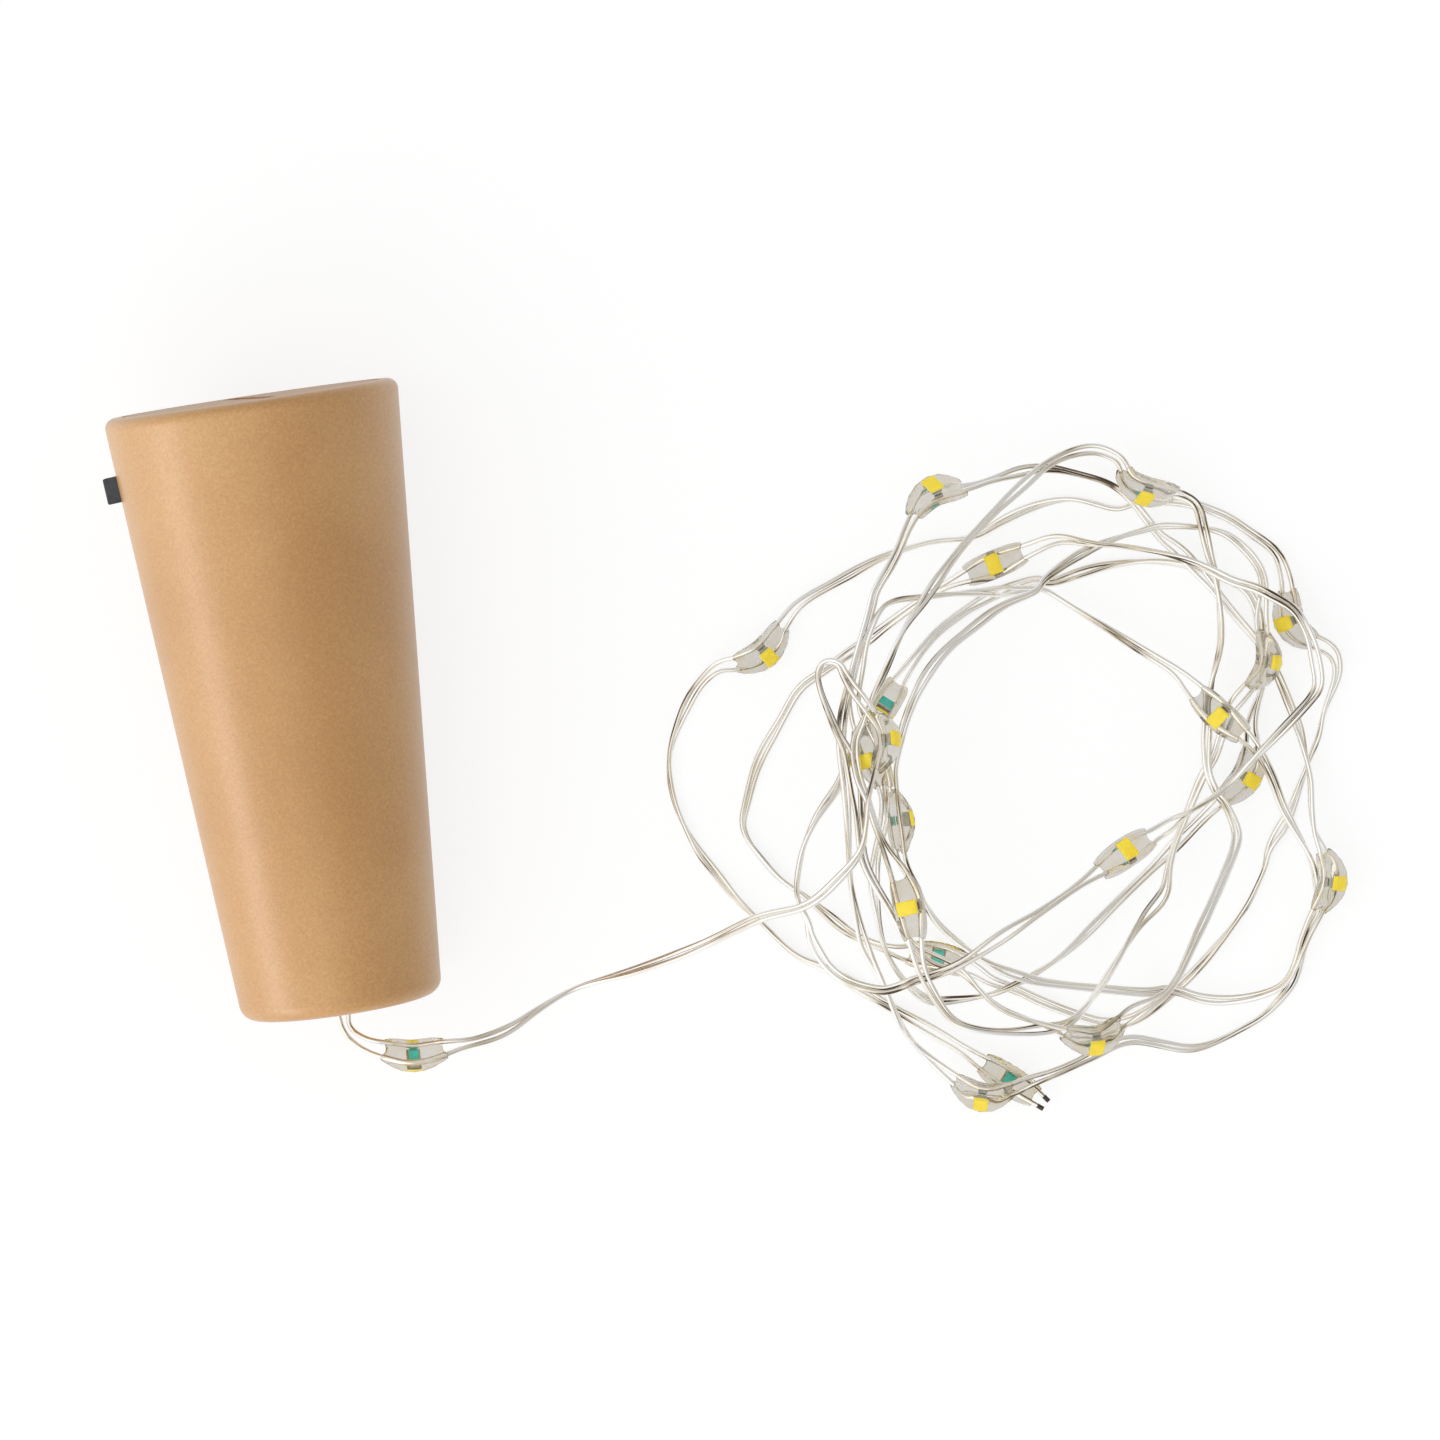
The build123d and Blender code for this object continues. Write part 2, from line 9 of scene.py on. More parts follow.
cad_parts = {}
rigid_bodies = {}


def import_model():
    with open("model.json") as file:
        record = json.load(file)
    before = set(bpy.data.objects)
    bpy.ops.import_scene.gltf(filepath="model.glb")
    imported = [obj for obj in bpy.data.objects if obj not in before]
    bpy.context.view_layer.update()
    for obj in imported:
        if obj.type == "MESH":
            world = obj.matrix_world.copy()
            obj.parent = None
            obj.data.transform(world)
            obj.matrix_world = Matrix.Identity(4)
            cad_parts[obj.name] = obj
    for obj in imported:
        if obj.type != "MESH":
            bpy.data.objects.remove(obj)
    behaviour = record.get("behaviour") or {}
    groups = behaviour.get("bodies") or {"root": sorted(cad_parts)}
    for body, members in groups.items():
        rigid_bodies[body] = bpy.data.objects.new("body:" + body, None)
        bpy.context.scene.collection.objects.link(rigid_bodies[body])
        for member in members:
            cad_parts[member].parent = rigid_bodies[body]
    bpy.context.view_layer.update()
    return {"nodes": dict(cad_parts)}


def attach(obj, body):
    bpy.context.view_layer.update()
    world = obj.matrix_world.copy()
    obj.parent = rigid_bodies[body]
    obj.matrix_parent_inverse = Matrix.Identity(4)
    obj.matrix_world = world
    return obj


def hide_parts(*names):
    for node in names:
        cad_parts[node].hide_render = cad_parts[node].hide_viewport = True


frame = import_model()
bpy.ops.object.select_all(action="DESELECT")

# The stopper is one hollow moulding in cork-coloured soft plastic, tapered to plug a bottle's mouth. Its skin is
# satin, a little waxy, and finely grained, with faint warmer and paler clouds.


def from_screen(red, green, blue):
    """Colour as seen on a screen, from 0 to 255, as the shaders' light values."""
    values = np.array([red, green, blue]) / 255
    light = np.where(values <= 0.04045, values / 12.92, ((values + 0.055) / 1.055) ** 2.4)
    return (*light.tolist(), 1.0)


def new_finish(name, roughness, metallic=0.0):
    """A new finish, with its node tree and its shader to add detail to."""
    finish = bpy.data.materials.new(name)
    finish.use_nodes = True
    tree = finish.node_tree
    shader = tree.nodes["Principled BSDF"]
    shader.inputs["Roughness"].default_value = roughness
    shader.inputs["Metallic"].default_value = metallic
    return finish, tree, shader


def add_grain(tree, scale, detail):
    """Cloudy or fine grain on the piece's own coordinates, in features per metre."""
    place = tree.nodes.new("ShaderNodeTexCoord")
    noise = tree.nodes.new("ShaderNodeTexNoise")
    noise.inputs["Scale"].default_value = scale
    noise.inputs["Detail"].default_value = detail
    tree.links.new(place.outputs["Object"], noise.inputs["Vector"])
    return noise.outputs["Fac"]


def add_math(tree, operation, first, second):
    """One operation on two values: the first is an output, the second an output or a plain number."""
    result = tree.nodes.new("ShaderNodeMath")
    result.operation = operation
    tree.links.new(first, result.inputs[0])
    if isinstance(second, float):
        result.inputs[1].default_value = second
    else:
        tree.links.new(second, result.inputs[1])
    return result.outputs["Value"]


def add_shades(tree, factor, stops):
    """Colour that follows a factor, from places on it to the shades there."""
    ramp = tree.nodes.new("ShaderNodeValToRGB")
    while len(ramp.color_ramp.elements) < len(stops):
        ramp.color_ramp.elements.new(0.5)
    for element, (place, colour) in zip(ramp.color_ramp.elements, stops.items()):
        element.position = place
        element.color = colour
    tree.links.new(factor, ramp.inputs["Fac"])
    return ramp.outputs["Color"]


def add_relief(tree, shader, height, strength, distance):
    """Fine relief of a given depth in metres."""
    bump = tree.nodes.new("ShaderNodeBump")
    bump.inputs["Strength"].default_value = strength
    bump.inputs["Distance"].default_value = distance
    tree.links.new(height, bump.inputs["Height"])
    tree.links.new(bump.outputs["Normal"], shader.inputs["Normal"])


def dress(node, finish):
    """Gives one of the part's own solids its finish."""
    slots = frame["nodes"][node].data.materials
    slots.clear()
    slots.append(finish)


cork_grain_share = 0.5
cork_shades = {
    0.34: from_screen(187, 133, 68),
    0.50: from_screen(199, 147, 82),
    0.66: from_screen(211, 162, 100),
}
cork_finish, cork_tree, cork_shader = new_finish("cork_skin", roughness=0.36)
cork_clouds = add_grain(cork_tree, scale=75.0, detail=3.0)
cork_grain = add_grain(cork_tree, scale=5200.0, detail=2.0)
cork_mottle = add_math(
    cork_tree,
    "ADD",
    add_math(cork_tree, "MULTIPLY", cork_clouds, 1 - cork_grain_share),
    add_math(cork_tree, "MULTIPLY", cork_grain, cork_grain_share),
)
cork_tree.links.new(add_shades(cork_tree, cork_mottle, cork_shades), cork_shader.inputs["Base Color"])
add_relief(cork_tree, cork_shader, cork_grain, strength=0.45, distance=0.00004)
cork_shader.inputs["Subsurface Weight"].default_value = 0.15
cork_shader.inputs["Subsurface Radius"].default_value = (1.0, 0.5, 0.25)
cork_shader.inputs["Subsurface Scale"].default_value = 0.001
cork_shader.inputs["Coat Weight"].default_value = 0.7
cork_shader.inputs["Coat Roughness"].default_value = 0.40
cork_shader.inputs["Coat IOR"].default_value = 1.75
dress("cork_body", cork_finish)

# The lid is a disc of the same plastic let into the wide end, with a slot for a coin. It is pulled off to change
# the cells, and its contact plate comes away with it.


def grained_finish(name, colour, roughness, metallic=0.0, grain=2500.0, share=0.10, depth=0.00004):
    """A finish whose colour and surface vary a little in a fine grain."""
    finish, tree, shader = new_finish(name, roughness, metallic)
    speckle = add_grain(tree, grain, detail=3.0)
    darker = (*[level * (1 - share) for level in colour[:3]], 1.0)
    paler = (*[min(1.0, level * (1 + share)) for level in colour[:3]], 1.0)
    speckled = add_shades(tree, speckle, {0.35: darker, 0.65: paler})
    tree.links.new(speckled, shader.inputs["Base Color"])
    add_relief(tree, shader, speckle, strength=0.3, distance=depth)
    return finish


lid_finish = grained_finish("lid_plastic", from_screen(200, 160, 122), roughness=0.42, grain=3200.0)
dress("battery_lid", lid_finish)

# The switch's knob is a small black moulding that stands out of its window near the wide end, scuffed a little paler
# by thumbs. It slides along the stopper.
knob_finish = grained_finish("knob_plastic", from_screen(58, 61, 65), roughness=0.42, grain=1800.0, share=0.25)
dress("switch_knob", knob_finish)

# What is inside the stopper: the cells in their tube, the spring and contacts, the board, and the rest of the switch.
# They are pressed or soldered in place, and show only when the lid is off.
inside_finishes = {
    "holder_plastic": (from_screen(228, 226, 219), 0.45, 0.0, ["battery_tube"]),
    "cell_steel": (from_screen(205, 205, 203), 0.28, 1.0, ["cell_1", "cell_2", "cell_3"]),
    "spring_steel": (from_screen(190, 188, 184), 0.30, 1.0, ["battery_spring"]),
    "plated_brass": (from_screen(214, 190, 130), 0.30, 1.0, ["lid_contact", "contact_strip", "switch_terminals"]),
    "board_green": (from_screen(40, 112, 62), 0.35, 0.0, ["circuit_board"]),
    "chip_black": (from_screen(44, 44, 46), 0.40, 0.0, ["board_resistor", "switch_base"]),
    "tinned_sheet": (from_screen(192, 192, 192), 0.30, 1.0, ["switch_can"]),
    "red_insulation": (from_screen(190, 40, 32), 0.40, 0.0, ["switch_lead_1"]),
    "black_insulation": (from_screen(40, 40, 42), 0.40, 0.0, ["switch_lead_2"]),
    "milky_glue": (from_screen(226, 220, 205), 0.25, 0.0, ["exit_seal"]),
}
for finish_name, (colour, roughness, metallic, nodes) in inside_finishes.items():
    inside_finish = grained_finish(finish_name, colour, roughness, metallic)
    for node in nodes:
        dress(node, inside_finish)

# The string's route, traced over the photo from the stopper to the cut end: the points that the pair of wires passes
# on its way to each light, and the lights themselves, in the photo's pixels. The camera that took it stands straight
# above, so a pixel is a place on the floor. Lengths are in millimetres until the route is done.
camera_over = np.array([32.17, -6.12])
camera_height = 530.0
pixels_per_mm = 12.87
photo_width = 1440.0
photo_middle = photo_width / 2
photo_turn = math.radians(8.35)
exit_point = np.array([0.382, -23.578, 7.679])
exit_slope = math.radians(4.38)
held_reaches = (0.0, 0.8, 1.6)
light_pixels = [
    (413, 1056), (888, 738), (1098, 1040), (1148, 490), (910, 905), (1268, 665), (897, 822), (1333, 880), (930, 492),
    (978, 1097), (1222, 718), (873, 755), (1247, 778), (888, 700), (1127, 852), (992, 566), (943, 956), (1290, 625),
    (765, 652), (1010, 1080),
]
way_pixels = [
    [(352, 1036), (368, 1046), (390, 1051)],
    [(448, 1047), (480, 1041), (510, 1030), (537, 1010), (570, 990), (600, 980), (635, 971), (700, 947), (735, 929),
     (765, 915), (808, 908), (838, 880), (862, 853), (866, 828), (867, 800), (874, 775)],
    [(866, 705), (853, 689), (844, 674), (840, 664), (830, 660), (821, 664), (817, 674), (820, 690), (829, 713),
     (838, 735), (851, 757), (857, 800), (860, 830), (862, 855), (868, 872), (880, 893), (892, 912), (904, 935),
     (915, 948), (935, 960), (962, 970), (979, 990), (998, 1008), (1026, 1019), (1046, 1025), (1068, 1034)],
    [(1118, 1025), (1133, 1012), (1158, 1000), (1175, 985), (1195, 940), (1213, 902), (1230, 862), (1237, 843),
     (1237, 829), (1226, 804), (1216, 793), (1207, 772), (1206, 750), (1208, 705), (1212, 679), (1219, 655),
     (1222, 633), (1217, 577), (1210, 559), (1203, 525), (1198, 506), (1189, 498), (1175, 493)],
    [(1128, 480), (1123, 463), (1114, 455), (1095, 448), (1072, 452), (1048, 463), (1033, 476), (1002, 504),
     (977, 530), (959, 550), (933, 586), (920, 607), (908, 622), (896, 645), (886, 670), (871, 700), (863, 723),
     (853, 742), (858, 780), (868, 800), (875, 825), (889, 856), (899, 873)],
    [(915, 940), (920, 968), (931, 991), (949, 1019), (970, 1029), (1005, 1033), (1040, 1030), (1066, 1026),
     (1085, 1010), (1115, 965), (1140, 922), (1166, 895), (1168, 870), (1174, 846), (1191, 804), (1202, 776),
     (1214, 758), (1220, 740), (1228, 712), (1248, 688)],
    [(1260, 621), (1265, 587), (1261, 569), (1248, 551), (1227, 533), (1201, 527), (1160, 525), (1145, 530),
     (1115, 538), (1080, 553), (1042, 580), (1038, 592), (1003, 604), (972, 628), (944, 651), (924, 678), (912, 703),
     (904, 725), (897, 750), (888, 780)],
    [(900, 855), (907, 872), (918, 888), (924, 903), (936, 922), (955, 940), (990, 966), (1030, 980), (1060, 985),
     (1116, 990), (1150, 993), (1172, 988), (1200, 999), (1228, 1001), (1260, 996), (1286, 985), (1297, 962),
     (1304, 940), (1314, 918)],
    [(1322, 848), (1314, 832), (1311, 804), (1311, 780), (1306, 757), (1299, 727), (1290, 705), (1278, 675),
     (1264, 648), (1233, 613), (1215, 590), (1194, 566), (1178, 549), (1160, 537), (1140, 510), (1128, 496),
     (1108, 482), (1080, 474), (1041, 466), (1000, 477), (968, 488)],
    [(909, 522), (896, 558), (875, 590), (872, 605), (862, 640), (856, 661), (850, 684), (844, 707), (841, 730),
     (841, 752), (845, 780), (848, 822), (849, 860), (851, 890), (859, 926), (866, 951), (885, 987), (899, 1023),
     (914, 1044), (940, 1068)],
    [(1012, 1090), (1030, 1081), (1050, 1075), (1085, 1060), (1125, 1037), (1158, 1043), (1190, 1050), (1215, 1043),
     (1240, 1030), (1262, 1018), (1280, 1000), (1291, 985), (1298, 965), (1310, 925), (1320, 910), (1317, 888),
     (1314, 867), (1307, 850), (1292, 824), (1281, 804), (1272, 775), (1253, 742)],
    [(1194, 690), (1178, 672), (1155, 658), (1130, 643), (1080, 612), (1055, 596), (1040, 587), (1014, 591),
     (986, 592), (950, 594), (923, 597), (890, 600), (878, 613), (870, 630), (862, 650), (857, 675), (853, 700),
     (857, 722)],
    [(886, 790), (886, 808), (881, 836), (876, 856), (873, 880), (878, 920), (882, 940), (889, 959), (904, 982),
     (926, 1001), (945, 1001), (979, 997), (998, 993), (1016, 984), (1032, 976), (1068, 953), (1116, 903),
     (1165, 856), (1180, 840), (1212, 808)],
    [(1253, 742), (1250, 728), (1255, 707), (1263, 687), (1265, 665), (1260, 625), (1257, 606), (1247, 589),
     (1233, 582), (1209, 572), (1165, 560), (1114, 563), (1075, 574), (1050, 584), (1038, 578), (1011, 587),
     (986, 598), (960, 614), (933, 635), (905, 672)],
    [(872, 728), (862, 735), (852, 750), (841, 782), (831, 797), (819, 813), (810, 830), (802, 850), (798, 872),
     (796, 890), (799, 904), (809, 923), (810, 937), (824, 963), (838, 976), (852, 984), (880, 991), (894, 989),
     (915, 980), (929, 977), (960, 966), (1000, 938), (1050, 906), (1092, 876)],
    [(1162, 830), (1190, 812), (1225, 790), (1250, 763), (1272, 741), (1296, 716), (1313, 697), (1320, 684),
     (1316, 660), (1311, 638), (1297, 610), (1279, 600), (1255, 587), (1233, 582), (1209, 569), (1178, 556),
     (1128, 546), (1089, 544), (1058, 537), (1028, 550)],
    [(956, 580), (930, 594), (912, 607), (888, 624), (867, 641), (852, 651), (821, 673), (798, 688), (781, 721),
     (757, 761), (747, 801), (740, 830), (762, 860), (779, 879), (796, 890), (810, 900), (838, 924), (856, 937),
     (887, 949), (908, 954)],
    [(976, 970), (990, 981), (1016, 989), (1040, 1001), (1068, 1012), (1102, 1024), (1130, 1022), (1158, 1005),
     (1182, 984), (1202, 964), (1226, 935), (1247, 907), (1258, 885), (1266, 865), (1268, 848), (1289, 817),
     (1297, 794), (1305, 771), (1312, 752), (1320, 735), (1323, 712), (1337, 680), (1338, 662), (1330, 648),
     (1310, 640)],
    [(1288, 592), (1285, 573), (1279, 556), (1269, 545), (1248, 531), (1227, 516), (1196, 505), (1177, 500),
     (1135, 503), (1118, 511), (1090, 502), (1068, 498), (1035, 505), (1000, 521), (973, 539), (940, 540), (918, 545),
     (880, 557), (840, 580), (800, 601), (784, 622)],
    [(738, 664), (720, 665), (705, 677), (690, 697), (671, 742), (668, 770), (675, 808), (697, 850), (715, 872),
     (735, 898), (761, 922), (796, 958), (828, 968), (866, 992), (887, 1005), (915, 1021), (960, 1047), (978, 1060)],
]
cut_end_pixels = [(1036, 1097), (1046, 1105)]


def on_floor(pixels):
    """Where the photo's pixels lie on the floor, from the point under the camera."""
    offset = (np.array(pixels, dtype=float) - photo_middle) / pixels_per_mm
    right = np.array([math.cos(photo_turn), -math.sin(photo_turn)])
    up = np.array([math.sin(photo_turn), math.cos(photo_turn)])
    return offset[:, :1] * right - offset[:, 1:] * up


out_of_stopper = np.array([0.0, -math.cos(exit_slope), -math.sin(exit_slope)])
held_points = [exit_point + reach * out_of_stopper for reach in held_reaches]
first_mark = len(held_points)
route_pixels = []
light_at = []
for way, light_pixel in zip(way_pixels, light_pixels):
    route_pixels += way
    light_at.append(first_mark + len(route_pixels))
    route_pixels.append(light_pixel)
route_pixels += cut_end_pixels
flat = np.vstack([[point[:2] - camera_over for point in held_points], on_floor(route_pixels)])

# How the string lies: turn upon turn, each strand over those that were laid before it, as stiff as thin wire is. The
# far end was laid first, and one stretch near it and two lights were tucked over the finished pile. Each light lies
# rolled about the wires as the photo shows, its chip up, down or to a side.
strand_half_width = 0.50
strand_half_height = 0.395
light_half_width = 1.05
light_front = 1.48
light_back = 0.50
light_reach = 2.2
light_rolls = np.radians(
    [148, 72, 55, -60, 15, 70, -112, 55, 50, 60, -20, 45, 45, 180, -15, 4, 165, -50, -50, 158]
)
lights_on_top = [4, 10]
on_top_share = 0.05
on_top_rank = 50.0
tucked_over = (14.35, 16.0)
tucked_rank = 100.0
bend_radius = 45.0
steepest_sag = 4.0
drop_from_stopper = 19.0
sample_step = 0.7
own_strand_length = 7.0
eased_samples = 11
settling_rounds = 14
end_number = len(light_at) + 0.5
span_number = np.interp(
    np.arange(len(flat)), [0, *light_at, len(flat) - 1], [*range(len(light_at) + 1), end_number]
)


def settled_heights():
    """Height of each route point, laid strand upon strand."""
    steps = np.linalg.norm(np.diff(flat, axis=0), axis=1)
    along_points = np.concatenate([[0.0], np.cumsum(steps)])
    along = np.arange(0.0, along_points[-1], sample_step)
    place = np.column_stack([np.interp(along, along_points, flat[:, axis]) for axis in (0, 1)])
    number = np.interp(along, along_points, span_number)
    near_light = np.exp(-((along[:, None] - along_points[light_at]) / light_reach) ** 2)
    upright = np.cos(light_rolls)
    on_side = light_half_width * np.abs(np.sin(light_rolls))
    light_low = on_side + np.where(upright > 0, light_back, light_front) * np.abs(upright)
    light_high = on_side + np.where(upright > 0, light_front, light_back) * np.abs(upright)
    low = strand_half_height + ((light_low - strand_half_height) * near_light).max(axis=1)
    high = strand_half_height + ((light_high - strand_half_height) * near_light).max(axis=1)
    half_width = strand_half_width + (light_half_width - strand_half_width) * near_light.max(axis=1)
    tucked = (number > tucked_over[0]) & (number < tucked_over[1])
    on_top = near_light[:, lights_on_top].max(axis=1) > on_top_share
    order = tucked_rank * tucked + on_top_rank * on_top - number
    apart = np.linalg.norm(place[:, None] - place[None], axis=2)
    reach = half_width[:, None] + half_width[None]
    touching = (apart < reach) & (np.abs(along[:, None] - along[None]) > own_strand_length)
    below = touching & (order[None] < order[:, None])
    rise = (low[:, None] + high[None]) * np.sqrt(np.clip(1 - (apart / reach) ** 2, 0, 1))
    sag = (along[:, None] - along[None]) ** 2 / (2 * bend_radius)
    sag[sag > steepest_sag] = np.inf
    held = exit_point[2] * (0.5 + 0.5 * np.cos(np.clip(along / drop_from_stopper, 0, 1) * math.pi))
    base = np.maximum(low, held)
    easing = np.full(eased_samples, 1 / eased_samples)
    height = base.copy()
    for _ in range(settling_rounds):
        lifted = np.maximum(base, np.where(below, height[None] + rise, 0.0).max(axis=1))
        height = (lifted[None] - sag).max(axis=1)
        height = np.maximum(height, np.convolve(height, easing, mode="same"))
    return np.interp(along_points, along, height)


heights = settled_heights()
toward_camera = 1 - heights / camera_height
route = np.column_stack([camera_over + flat * toward_camera[:, None], heights])
route[:first_mark] = held_points
route /= 1000

# The two wires are thin copper, silvered and lacquered, side by side. They part to pass the chip in each light, lean
# over each other on the way, and end bare, with dark tips where they were cut.
wire_radius = 0.00019
string_length = 0.95
gap_at_exit = 0.00045
gap_between = 0.000200
gap_wander = 0.00017
gap_waves = (530.0, 190.0)
gap_at_light = 0.00070
parting = 0.0034
closing_after_exit = 0.0012
rolling = 0.0045
lean_most = 2.0
lean_waves = (210.0, 71.0)
lean_shift = 0.8
level_after_exit = 0.004
streaks_along = 130.0
streaks_around = 2.6
# The silver's shades: the dark brown stop paints the dark reflection lines that a lacquered wire shows along its
# edges, and the pale stops are the silver's own tone.
silver_and_painted_reflection_shades = {
    0.36: from_screen(84, 69, 52),
    0.40: from_screen(222, 210, 188),
    0.48: from_screen(250, 246, 237),
    0.62: from_screen(255, 254, 252),
}
cut_tip_length = 0.0004
cut_tip_colour = from_screen(74, 64, 54)
mix_share, mix_first, mix_second, mix_result = 0, 6, 7, 2  # where a mix node has its colour sockets


def lay_wire(name, points, resolution):
    """A smooth open curve along these points, for a wire or for the middle of the pair."""
    curve = bpy.data.curves.new(name, "CURVE")
    curve.dimensions = "3D"
    spline = curve.splines.new("NURBS")
    spline.points.add(len(points) - 1)
    for control, point in zip(spline.points, points):
        control.co = (*point, 1.0)
    spline.order_u = 3
    spline.use_endpoint_u = True
    spline.resolution_u = resolution
    piece = bpy.data.objects.new(name, curve)
    bpy.context.scene.collection.objects.link(piece)
    return piece


def string_middle(points):
    """Close points along the middle of the pair, smooth over the route's own points."""
    guide = lay_wire("route_guide", points, resolution=4)
    mesh = bpy.data.meshes.new_from_object(guide)
    places = np.array([vertex.co for vertex in mesh.vertices])
    bpy.data.objects.remove(guide)
    return places


line = string_middle(route)
along_line = np.concatenate([[0.0], np.cumsum(np.linalg.norm(np.diff(line, axis=0), axis=1))])
ahead = np.gradient(line, along_line, axis=0)
ahead /= np.linalg.norm(ahead, axis=1)[:, None]
leftward = np.cross([0.0, 0.0, 1.0], ahead)
leftward /= np.linalg.norm(leftward, axis=1)[:, None]
upward = np.cross(ahead, leftward)
light_along = [along_line[np.linalg.norm(line - route[mark], axis=1).argmin()] for mark in light_at]

from_light = along_line[:, None] - light_along
pair_rolls = (light_rolls + math.pi / 2) % math.pi - math.pi / 2
hold = np.exp(-((from_light / rolling) ** 2))
lean = lean_most * np.sin(along_line * lean_waves[0]) * np.sin(along_line * lean_waves[1] + lean_shift)
lean *= 1 - hold.max(axis=1)
lean += (hold * pair_rolls).sum(axis=1)
lean *= 1 - np.exp(-((along_line / level_after_exit) ** 2))
wander = np.clip(np.sin(along_line * gap_waves[0]) * np.sin(along_line * gap_waves[1]), 0, 1)
at_light = np.exp(-((from_light / parting) ** 2)).max(axis=1)
at_exit = np.exp(-((along_line / closing_after_exit) ** 2))
half_gap = gap_between + gap_wander * wander * np.cos(lean) ** 2 + (gap_at_light - gap_between) * at_light
half_gap += (gap_at_exit - half_gap) * at_exit
sideways = leftward * np.cos(lean)[:, None] + upward * np.sin(lean)[:, None]

wire_finish, wire_tree, wire_shader = new_finish("silvered_wire", roughness=0.15, metallic=1.0)
wire_place = wire_tree.nodes.new("ShaderNodeTexCoord")
wire_stretch = wire_tree.nodes.new("ShaderNodeMapping")
wire_stretch.inputs["Scale"].default_value = (streaks_along, streaks_around, 1.0)
wire_reflection_streaks = wire_tree.nodes.new("ShaderNodeTexNoise")
wire_reflection_streaks.inputs["Scale"].default_value = 1.0
wire_reflection_streaks.inputs["Detail"].default_value = 3.0
wire_tree.links.new(wire_place.outputs["UV"], wire_stretch.inputs["Vector"])
wire_tree.links.new(wire_stretch.outputs["Vector"], wire_reflection_streaks.inputs["Vector"])
wire_sides = wire_tree.nodes.new("ShaderNodeSeparateXYZ")
wire_tree.links.new(wire_place.outputs["UV"], wire_sides.inputs["Vector"])
wire_end = add_math(wire_tree, "GREATER_THAN", wire_sides.outputs["X"], 1 - cut_tip_length / string_length)
# Stretched grain streaks the silver along each wire with these painted dark reflection lines.
silver_with_painted_reflections = add_shades(wire_tree, wire_reflection_streaks.outputs["Fac"], silver_and_painted_reflection_shades)
wire_tip = wire_tree.nodes.new("ShaderNodeMix")
wire_tip.data_type = "RGBA"
wire_tip.inputs[mix_second].default_value = cut_tip_colour
wire_tree.links.new(wire_end, wire_tip.inputs[mix_share])
wire_tree.links.new(silver_with_painted_reflections, wire_tip.inputs[mix_first])
wire_tree.links.new(wire_tip.outputs[mix_result], wire_shader.inputs["Base Color"])
wire_shader.inputs["Coat Weight"].default_value = 0.5
wire_shader.inputs["Coat Roughness"].default_value = 0.06

inner_wire_finish = grained_finish("inner_wire", from_screen(228, 218, 200), roughness=0.22, metallic=1.0)
for letter, side in (("a", 1), ("b", -1)):
    wire = lay_wire(f"string_wire_{letter}", line + sideways * (side * half_gap)[:, None], resolution=2)
    wire.data.bevel_depth = wire_radius
    wire.data.bevel_resolution = 3
    wire.data.use_fill_caps = True
    wire.data.materials.append(wire_finish)
    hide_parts(f"lead_wire_{letter}", f"coil_wire_{letter}")
    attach(wire, "stopper")
    dress(f"inner_wire_{letter}", inner_wire_finish)

# Each light is a drop of resin, drawn as a web between the two wires with hollow ends, and crowned over the chip. It
# is modelled once along X with the chip up, and each copy is bent along the string and rolled as its light lies.
drop_length = 0.0056
drop_width = 0.0022
drop_back = light_back / 1000
drop_crown = light_front / 1000
drop_shoulder = 0.0010
drop_side_share = 0.86
drop_end_width_share = 0.74
drop_end_height = 0.00040
drop_end_hollow = 0.80
top_start = 0.9 * drop_back
end_start = 0.4 * drop_length
crown_half_length = 0.1 * drop_length
side_start = 0.4 * drop_width
hollow_half_width = 0.3 * drop_width
resin_shades = {0.38: from_screen(218, 210, 192), 0.56: from_screen(222, 219, 214)}


def clear_selection(kind):
    """Deselects the piece in edit mode, for points or faces, and leaves edit mode to select them in code."""
    bpy.ops.object.mode_set(mode="EDIT")
    bpy.ops.mesh.select_mode(type=kind)
    bpy.ops.mesh.select_all(action="DESELECT")
    bpy.ops.object.mode_set(mode="OBJECT")


def select_drop_points(piece, wanted):
    """Selects the drop's points whose place passes a test, and goes to edit mode."""
    clear_selection("VERT")
    for vertex in piece.data.vertices:
        vertex.select = wanted(vertex.co)
    bpy.ops.object.mode_set(mode="EDIT")


bpy.ops.mesh.primitive_cube_add(size=1)
drop = bpy.context.object
drop.name = "resin_drop"
bpy.ops.object.mode_set(mode="EDIT")
bpy.ops.transform.resize(value=(drop_length, drop_width, 2 * drop_back), center_override=(0, 0, 0))
bpy.ops.mesh.subdivide(number_cuts=3)
select_drop_points(drop, lambda point: point.z > top_start and abs(point.x) < end_start)
bpy.ops.transform.translate(value=(0, 0, drop_shoulder - drop_back))
select_drop_points(drop, lambda point: point.z > top_start and abs(point.x) < crown_half_length)
bpy.ops.transform.translate(value=(0, 0, drop_crown - drop_shoulder))
select_drop_points(drop, lambda point: point.z > top_start and abs(point.y) > side_start)
bpy.ops.transform.resize(value=(1, 1, drop_side_share), center_override=(0, 0, 0))
select_drop_points(drop, lambda point: abs(point.x) > end_start)
drop_end_shares = (1, drop_end_width_share, drop_end_height / (2 * drop_back))
bpy.ops.transform.resize(value=drop_end_shares, center_override=(0, 0, 0))
select_drop_points(drop, lambda point: abs(point.x) > end_start and abs(point.y) < hollow_half_width)
bpy.ops.transform.resize(value=(drop_end_hollow, 1, 1), center_override=(0, 0, 0))
bpy.ops.object.mode_set(mode="OBJECT")
rounding = drop.modifiers.new("rounding", "SUBSURF")
rounding.levels = 1
rounding.render_levels = 1
bpy.ops.object.modifier_apply(modifier="rounding")
bpy.ops.object.shade_smooth()

